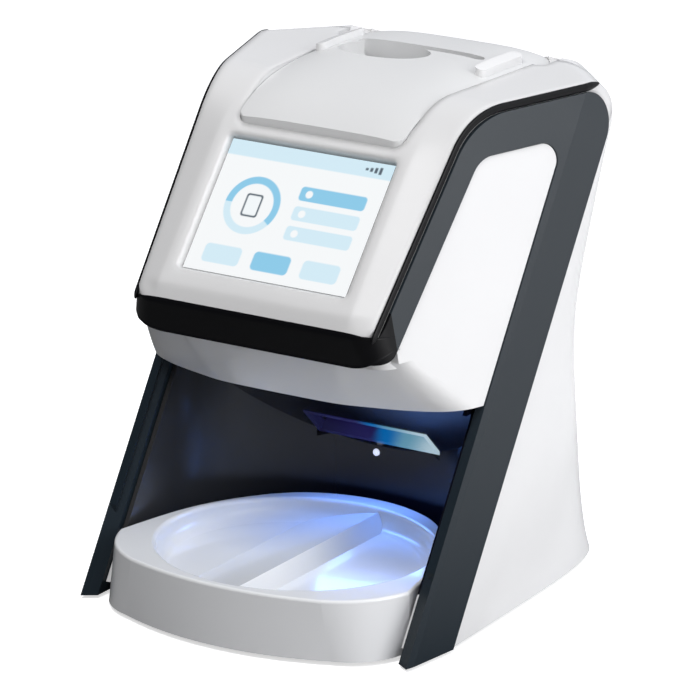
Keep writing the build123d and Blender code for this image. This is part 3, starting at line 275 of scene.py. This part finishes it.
def chin_lip():
    """A dark lip round the chin: at each height the plan is the front line, a corner arc and the flank
    line, and the face slope cuts it off above; a rolled edge closes it below. Both edges sweep up or
    down toward the ends, where the lip meets the arms."""
    across = 161
    low_edge, low_sweep = 0.1206, 0.0080
    top_edge, top_sweep = 0.1363, 0.0020
    sweep_start = 0.70
    rolled_under, rolled_over = 0.0042, 0.0012
    front_y, front_end_z, flank_end_y = -0.06958, 0.134, -0.0570
    under_slope, face_slope = 3 / 11, 0.3164
    radius = 0.013
    proud, proud_share = 0.00025, 1.003

    share = np.linspace(-1, 1, across)
    share = np.sign(share) * (1 - (1 - np.abs(share)) ** 1.6)
    climb = np.concatenate([[0.0, 0.0], np.linspace(0.0, 0.82, 9), np.linspace(0.86, 1.0, 3), [1.0]])
    sink = np.zeros(len(climb))
    sink[0] = rolled_under
    sink[-1] = rolled_over
    ends = np.clip((np.abs(share) - sweep_start) / (1 - sweep_start), 0, 1) ** 2
    low = low_edge + low_sweep * ends
    top = top_edge - top_sweep * ends
    height = low[None, :] + (top - low)[None, :] * climb[:, None]
    leg_line = leg_foot_y + leg_lean * height
    front = front_y + (front_end_z - height) * under_slope
    x = share[None, :] * (leg_half + front_taper * (flank_end_y - leg_line))
    flank = (np.abs(x) - leg_half) / front_taper + leg_line
    stretch = math.hypot(1, front_taper)
    centre_y = front + radius
    centre_x = leg_half + front_taper * (centre_y - leg_line) - radius * stretch
    past = np.clip(np.abs(x) - centre_x, 0, radius)
    arc = centre_y - np.sqrt(radius**2 - past**2)
    wall = np.where(np.abs(x) > centre_x + radius / stretch, flank, arc)
    face = front_y + np.maximum(height - front_end_z, 0) * face_slope
    y = np.maximum(wall, face) - proud + sink[:, None]
    points = np.stack([x * proud_share, y, height], -1).reshape(-1, 3)
    return surface_mesh("chin_lip", points, grid_quads(len(climb), across))


def shadow_line_bead(name, side):
    """A flat near-black bead, a painted shadow line beside the white rim, on a path that runs up the face,
    turns over the top on an arc and goes back along it: an ellipse carried along, drawn to nothing at both
    ends."""
    along, round_by = 241, 16
    tilt = math.radians(40.0)
    turn = math.radians(50.0)
    bend = 0.0362
    corner_y, corner_z = -0.00044, 0.2136
    face_length, top_length = 0.1051, 0.0704
    inset, wide, deep = 0.0010, 0.0009, 0.0018
    low_fade, far_fade = 0.003, 0.006

    cut = bend * math.tan(turn / 2)
    rise, arc, run = face_length - cut, bend * turn, top_length - cut
    step = np.linspace(0, rise + arc + run, along)
    first = np.clip(step, 0, rise)
    lean = tilt + np.clip(step - rise, 0, arc) / bend
    last = np.clip(step - rise - arc, 0, run)
    start_y = corner_y - face_length * math.sin(tilt)
    start_z = corner_z - face_length * math.cos(tilt)
    y = start_y + first * math.sin(tilt) + bend * (np.cos(tilt) - np.cos(lean)) + last
    z = start_z + first * math.cos(tilt) + bend * (np.sin(lean) - np.sin(tilt))
    behind_leg = y - leg_foot_y - leg_lean * z
    half = leg_half + np.where(behind_leg < 0, front_taper, rear_taper) * behind_leg
    thin = np.clip(np.minimum(step / low_fade, (step[-1] - step) / far_fade), 0.0, 1.0) ** 0.5
    around = np.linspace(0, 2 * np.pi, round_by, endpoint=False)
    across = np.cos(around)[None, :] * wide * thin[:, None]
    out = np.sin(around)[None, :] * deep * thin[:, None]
    x = side * (half[:, None] - inset + across)
    out_y, out_z = -np.cos(lean)[:, None] * out, np.sin(lean)[:, None] * out
    points = np.stack([x, y[:, None] + out_y, z[:, None] + out_z], -1).reshape(-1, 3)
    return surface_mesh(name, points, grid_quads(along, round_by, closed=True)[:, ::-side])


for trim in (chin_lip(), shadow_line_bead("band_bead_right", 1), shadow_line_bead("band_bead_left", -1)):
    trim.data.materials.append(chin_black)
    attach(trim, "body")

# Bay: a gloss black liner behind the legs, with the lit mouth that plates fall from and a small
# status light below it. One deep-drawn moulding, clipped to the base; its left wall has a paler base colour,
# a painted sheen.
sheen_paint_from, sheen_paint_to = -0.072, -0.015
low_sheen = {"Specular IOR Level": 0.35}
bay_black = moulded("bay_black", (0.005, 0.005, 0.010), 0.22, wave=0.004, wave_scale=18.0, sockets=low_sheen)
dress(bay_black, "bay_liner")
tree = bay_black.node_tree
# Paler base colour on the left wall, fading out toward the middle: a painted sheen.
painted_sheen_share = along_axis(tree, "X", sheen_paint_from, sheen_paint_to)
left_sheen_paint = add_node(tree, "ValToRGB")
left_sheen_paint.color_ramp.elements[0].color = (0.034, 0.034, 0.035, 1)
left_sheen_paint.color_ramp.elements[1].color = (0.004, 0.004, 0.010, 1)
wire(tree, (painted_sheen_share, "Result", left_sheen_paint, "Fac"), (left_sheen_paint, "Color", tree.nodes["Principled BSDF"], "Base Color"))


def lit_dot(name, colour, strength):
    """Clear plastic lit from behind, with faint patches in it."""
    made = bpy.data.materials.new(name)
    made.use_nodes = True
    tree = made.node_tree
    shader = tree.nodes["Principled BSDF"]
    place = add_node(tree, "TexCoord")
    patch = add_node(tree, "TexNoise", {"Scale": 120.0})
    ramp = add_node(tree, "ValToRGB")
    for stop, share in zip(ramp.color_ramp.elements, (0.8, 1.0)):
        stop.color = (*[share * part for part in colour], 1)
    wire(
        tree,
        (place, "Object", patch, "Vector"),
        (patch, "Fac", ramp, "Fac"),
        (ramp, "Color", shader, "Base Color"),
        (ramp, "Color", shader, "Emission Color"),
    )
    shader.inputs["Emission Strength"].default_value = strength
    shader.inputs["Roughness"].default_value = 0.3
    return made


def lit_mouth(name, strength):
    """Clear plastic lit from one end: dark violet at the left, blue in the middle and pale grey at the
    right, with faint clouds that shift the tones by up to a centimetre."""
    made = bpy.data.materials.new(name)
    made.use_nodes = True
    tree = made.node_tree
    shader = tree.nodes["Principled BSDF"]
    place = add_node(tree, "TexCoord")
    split = add_node(tree, "SeparateXYZ")
    cloud = add_node(tree, "TexNoise", {"Scale": 90.0})
    shift = add_node(tree, "Math", {1: 0.010})
    shift.operation = "MULTIPLY_ADD"
    along = add_node(tree, "MapRange", {"From Min": -0.026, "From Max": 0.036})
    tint = add_node(tree, "ValToRGB")
    tint.color_ramp.interpolation = "EASE"
    tones = (
        (0.0, (0.003, 0.002, 0.014)),
        (0.40, (0.006, 0.004, 0.035)),
        (0.54, (0.0, 0.06, 0.19)),
        (0.70, (0.06, 0.15, 0.21)),
        (1.0, (0.22, 0.29, 0.33)),
    )
    for spot, (share, ink) in enumerate(tones):
        stop = tint.color_ramp.elements[spot] if spot < 2 else tint.color_ramp.elements.new(share)
        stop.position = share
        stop.color = (*ink, 1)
    wire(
        tree,
        (place, "Object", split, "Vector"),
        (place, "Object", cloud, "Vector"),
        (cloud, "Fac", shift, 0),
        (split, "X", shift, 2),
        (shift, "Value", along, "Value"),
        (along, "Result", tint, "Fac"),
        (tint, "Color", shader, "Emission Color"),
    )
    shader.inputs["Base Color"].default_value = (0.02, 0.03, 0.05, 1)
    shader.inputs["Emission Strength"].default_value = strength
    shader.inputs["Roughness"].default_value = 0.3
    return made


def exit_chute():
    """A thin sheet: its closed four-cornered section, in depth behind the mouth and height on the
    slope of 45 degrees, is carried straight across the mouth."""
    mouth_y, mouth_z, mouth_half = 0.0227, 0.0593, 0.0289
    near, far = -0.0003, 0.0095
    top, under = -0.0066, -0.00695
    depth = np.array((near, far, far, near)) * math.sqrt(0.5)
    rise = np.array((top, top, under, under)) * math.sqrt(0.5)
    x = np.array((-mouth_half, mouth_half))
    y, z = mouth_y - rise + depth, mouth_z + rise + depth
    points = np.stack([np.repeat(x, 4), np.tile(y, 2), np.tile(z, 2)], -1)
    faces = [(4, 5, 1, 0), (5, 6, 2, 1), (6, 7, 3, 2), (7, 4, 0, 3), (0, 1, 2, 3), (7, 6, 5, 4)]
    return surface_mesh("exit_chute", points, faces, False)


exit_glow = lit_mouth("exit_glow", 1.8)
dress(exit_glow, "exit_light_guide")
dress(lit_dot("status_glow", (0.62, 0.66, 0.80), 1.0), "status_led")
chute = exit_chute()
chute.data.materials.append(exit_glow)
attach(chute, "body")
lamp("exit_lamp", (0.0, 0.020, 0.052), (0.01, -0.03, 0.012), 0.05, 0.012, 0.026, (0.12, 0.30, 1.0))
lamp(
    "bay_glow", (0.0, -0.03, 0.088), (0.0, -0.045, 0.02), 0.06, 0.03, 0.017, (0.80, 0.92, 1.0), mirrored=False
)

# Tray: the white gloss dish that catches the plates. One ABS moulding with an oval bowl, a low ridge
# along it and a skirt in front; it lies loose on the base's rails and slides out to the front.
tray_white = moulded("tray_white", (0.80, 0.81, 0.83), 0.2, sockets={"Coat Weight": 0.4})
dress(tray_white, "tray")

# Lid: a light grey satin insert with a domed top, the entry slot and a finger scoop. It lifts off
# with its two white grips, which are glued on along its edges.
lid_grey = moulded("lid_grey", (0.70, 0.705, 0.71), 0.36, grain=0.12)
dress(lid_grey, "lid")
dress(shell_white, "lid_grips")

# Screen: a 4:3 display behind a flush cover glass that is bonded into the bezel. The picture is a
# plain start page, with pale tiles, a ring and bars in sky blue on white.
glass_black = moulded("glass_edge", (0.02, 0.022, 0.025), 0.08, wave=0.0)
dress(glass_black, "display_glass")


def rounded_box(u, v, centre_u, centre_v, half_u, half_v, radius):
    """Signed distance in millimetres to a rounded rectangle: negative inside."""
    past_u = np.abs(u - centre_u) - half_u + radius
    past_v = np.abs(v - centre_v) - half_v + radius
    outside = np.hypot(np.maximum(past_u, 0), np.maximum(past_v, 0))
    return outside + np.minimum(np.maximum(past_u, past_v), 0) - radius


def start_page(u, v):
    """Colours of the start page at places in millimetres from its middle: shapes are painted in turn,
    each by its signed distance, with an edge a third of a millimetre soft."""
    paper, tile = (0.93, 0.95, 0.96), (0.90, 0.94, 0.96)
    sky, pale, slate = (0.27, 0.60, 0.82), (0.66, 0.84, 0.93), (0.10, 0.13, 0.16)
    soft_edge = 0.35
    ring_u, ring_v, ring_radius, ring_half, ring_gap = -19.0, 2.0, 11.5, 1.6, 0.6
    bar_u, bar_half_u, bar_half_v, dot_u, dot_radius = 17.0, 16.0, 3.2, 5.5, 1.7
    colour = np.ones((*u.shape, 3)) * np.array(paper)

    def paint(distance, ink):
        share = np.clip(0.5 - distance / soft_edge, 0, 1)[..., None]
        colour[:] = colour * (1 - share) + np.array(ink) * share

    paint(rounded_box(u, v, 0, 26.5, 41, 3.6, 0.0), pale)
    for mark in range(4):
        paint(rounded_box(u, v, 34.0 - 2.2 * mark, 26.4, 0.7, 1.6 - 0.35 * mark, 0.3), slate)
    ring = np.abs(np.hypot(u - ring_u, v - ring_v) - ring_radius) - ring_half
    turn = np.arctan2(v - ring_v, u - ring_u)
    paint(ring, pale)
    paint(np.maximum(ring, -(turn + ring_gap) * ring_radius), sky)
    paint(rounded_box(u, v, ring_u, ring_v, 4.0, 5.2, 1.2), slate)
    paint(rounded_box(u, v, ring_u, ring_v, 3.2, 4.4, 0.8), tile)
    for bar_v, ink in ((11.0, sky), (2.0, pale), (-7.0, pale)):
        paint(rounded_box(u, v, bar_u, bar_v, bar_half_u, bar_half_v, bar_half_v / 2), ink)
        paint(np.hypot(u - dot_u, v - bar_v) - dot_radius, paper)
    for button_u, ink in ((-24.0, pale), (0.0, sky), (24.0, pale)):
        paint(rounded_box(u, v, button_u, -21.5, 9.0, 4.2, 2.0), ink)
    return colour


def picture_piece():
    """A flat grid over the seen part of the glass, a hair above it; each point carries its colour of
    the start page."""
    columns, rows = 241, 181
    half_wide, half_high = 39.9, 29.9
    middle_of_glass = np.array((0.0, -0.040, 0.1705))
    tilt = math.radians(40.0)
    up_glass = np.array((0.0, math.sin(tilt), math.cos(tilt)))
    out_of_glass = np.array((0.0, -math.cos(tilt), math.sin(tilt)))
    hair = 0.00004
    millimetre = 0.001

    u, v = np.meshgrid(np.linspace(-half_wide, half_wide, columns), np.linspace(-half_high, half_high, rows))
    aside = u[..., None] * millimetre * np.array((1.0, 0.0, 0.0))
    points = middle_of_glass + aside + v[..., None] * millimetre * up_glass + hair * out_of_glass
    piece = surface_mesh("screen_picture", points.reshape(-1, 3), grid_quads(rows, columns), False)
    layer = piece.data.color_attributes.new("picture", "FLOAT_COLOR", "POINT")
    rgba = np.concatenate([start_page(u, v).reshape(-1, 3), np.ones((rows * columns, 1))], 1)
    layer.data.foreach_set("color", rgba.astype(np.float32).ravel())
    return piece


screen_picture = picture_piece()
screen_lit = bpy.data.materials.new("screen_lit")
screen_lit.use_nodes = True
tree = screen_lit.node_tree
shader = tree.nodes["Principled BSDF"]
painted = add_node(tree, "VertexColor")
painted.layer_name = "picture"
wire(tree, (painted, "Color", shader, "Emission Color"))
shader.inputs["Emission Strength"].default_value = 0.98
shader.inputs["Base Color"].default_value = (0.01, 0.01, 0.012, 1)
shader.inputs["Roughness"].default_value = 0.12
shader.inputs["Specular IOR Level"].default_value = 0.25
screen_picture.data.materials.append(screen_lit)
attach(screen_picture, "body")

# Works inside the head and the back: plated sheet, moulded black parts, boards, rollers and motor.
# They are screwed between the two chassis plates and are seen only with the lid off.
metal = {"Metallic": 1.0}
plated = moulded("plated_sheet", (0.55, 0.56, 0.57), 0.35, sockets=metal)
dress(plated, "right_chassis_plate", "left_chassis_plate", "chassis_tie_bars", "front_plate_guide")
dress(plated, "rear_plate_guide", "optics_shelf", "display_module", "display_bracket")
ground = moulded("ground_steel", (0.62, 0.62, 0.63), 0.22, sockets=metal)
dress(ground, "upper_drive_shaft", "lower_drive_shaft", "motor_pulley", "network_jack", "base_screws")
moulded_black = moulded("moulded_black", (0.018, 0.018, 0.02), 0.42, grain=0.2)
dress(moulded_black, "entry_throat", "upper_pinch_roller", "lower_pinch_roller", "light_collector")
dress(moulded_black, "power_jack", "power_switch_body", "power_rocker", "photomultiplier")
dress(moulded_black, "mirror_motor", "stepper_motor")
rubber = moulded("rubber", (0.02, 0.02, 0.02), 0.75, grain=0.4, grain_scale=1500.0)
dress(rubber, "rubber_feet", "upper_roller_sleeve", "lower_roller_sleeve", "drive_belt")
boards = moulded("solder_mask", (0.02, 0.16, 0.07), 0.3)
dress(boards, "main_board", "display_board", "erase_lamp_bar")
brass = moulded("laser_brass", (0.6, 0.42, 0.18), 0.3, sockets=metal)
dress(brass, "laser_module")
silver = moulded("mirror_silver", (0.9, 0.9, 0.92), 0.04, wave=0.0, sockets=metal)
dress(silver, "scan_mirror")
panel_grey = moulded("panel_grey", (0.20, 0.21, 0.23), 0.4, grain=0.2)
dress(panel_grey, "connector_panel")

bpy.context.scene.view_settings.view_transform = "Standard"
